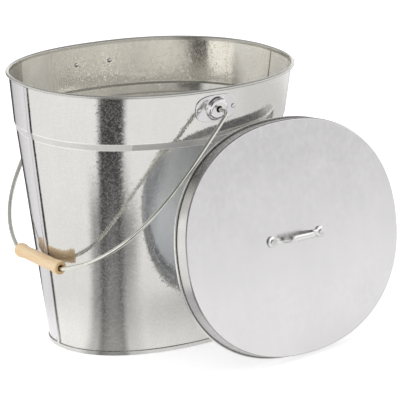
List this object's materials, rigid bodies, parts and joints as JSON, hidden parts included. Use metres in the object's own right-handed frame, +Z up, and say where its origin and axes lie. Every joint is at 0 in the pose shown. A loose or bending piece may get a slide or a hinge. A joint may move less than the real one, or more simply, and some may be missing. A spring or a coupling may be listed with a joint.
{
  "type": "ash bucket",
  "caption": "Oval galvanised steel ash bucket with a flat floor, a swinging wire bail with a turned wooden grip, and a separate oval lid with a strap handle, leaning against its side",
  "frame": {"origin": "on the floor, under the middle of the bounding box of the bucket and its leaning lid together", "axes": "+X runs along the long axis of the bucket's oval, away from the side where the bail hangs; -Y is the side where the lid leans; +Z is up"},
  "size_m": [0.4144, 0.334, 0.3],
  "materials": {
    "front_steel": "galvanised sheet, bright grey-white with a fine spangle",
    "rear_steel": "galvanised sheet, bright grey-white with a fine spangle",
    "bottom_steel": "galvanised sheet, slightly duller",
    "ear_front_steel": "bright zinc-plated steel",
    "ear_rear_steel": "bright zinc-plated steel",
    "ear_rivet_front_left_steel": "bright zinc-plated steel",
    "ear_rivet_front_right_steel": "bright zinc-plated steel",
    "ear_rivet_rear_left_steel": "bright zinc-plated steel",
    "ear_rivet_rear_right_steel": "bright zinc-plated steel",
    "wire_steel": "bright drawn wire",
    "beech": "pale turned beech, plain",
    "lid_steel": "galvanised sheet, very even light grey",
    "handle_steel": "bright zinc-plated strip",
    "lid_rivet_left_steel": "bright zinc-plated steel",
    "lid_rivet_right_steel": "bright zinc-plated steel"
  },
  "bodies": {
    "bucket": {"body_front_half": "front_steel", "body_rear_half": "rear_steel", "bottom_pan": "bottom_steel", "ear_front": "ear_front_steel", "ear_rear": "ear_rear_steel", "ear_rivet_front_left": "ear_rivet_front_left_steel", "ear_rivet_front_right": "ear_rivet_front_right_steel", "ear_rivet_rear_left": "ear_rivet_rear_left_steel", "ear_rivet_rear_right": "ear_rivet_rear_right_steel"},
    "bail": {"bail_wire": "wire_steel"},
    "grip": {"bail_grip": "beech"},
    "lid": {"lid_pan": "lid_steel", "lid_handle": "handle_steel", "lid_rivet_left": "lid_rivet_left_steel", "lid_rivet_right": "lid_rivet_right_steel"}
  },
  "joints": [
    {"name": "bail_swing", "type": "hinge", "parent": "bucket", "child": "bail", "pos_m": [-0.04179, 0.0237, 0.2774], "axis": [0, 1, 0], "range_deg": [0, 242.5]},
    {"name": "grip_turn", "type": "hinge", "parent": "bail", "child": "grip", "pos_m": [-0.18467, 0.0237, 0.10359], "axis": [0, 1, 0], "continuous": true},
    {"name": "lid_lift", "type": "slide", "parent": "bucket", "child": "lid", "axis": [0.1882, -0.9591, 0.2113], "range_m": [0, 0.3]}
  ]
}
